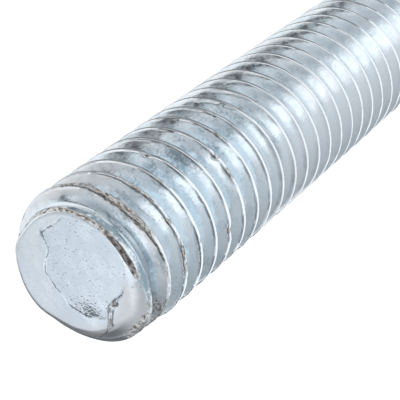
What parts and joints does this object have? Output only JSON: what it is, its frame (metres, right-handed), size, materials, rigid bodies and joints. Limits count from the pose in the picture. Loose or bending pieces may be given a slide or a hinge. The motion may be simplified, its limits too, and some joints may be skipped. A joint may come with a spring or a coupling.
{
  "type": "threaded rod",
  "caption": "Short zinc-plated rod with a right-hand rolled thread along its whole length and bevelled ends.",
  "frame": {"origin": "middle of the foot, on the surface that the rod stands on", "axes": "+Z along the rod to its crowned top end, -Y towards the viewer"},
  "size_m": [0.006, 0.006, 0.05],
  "materials": {
    "zinc_plate": "bright zinc plating on rolled steel, clouded, with brown laps along the crests"
  },
  "bodies": {
    "root": {"rod": "zinc_plate"}
  },
  "joints": []
}
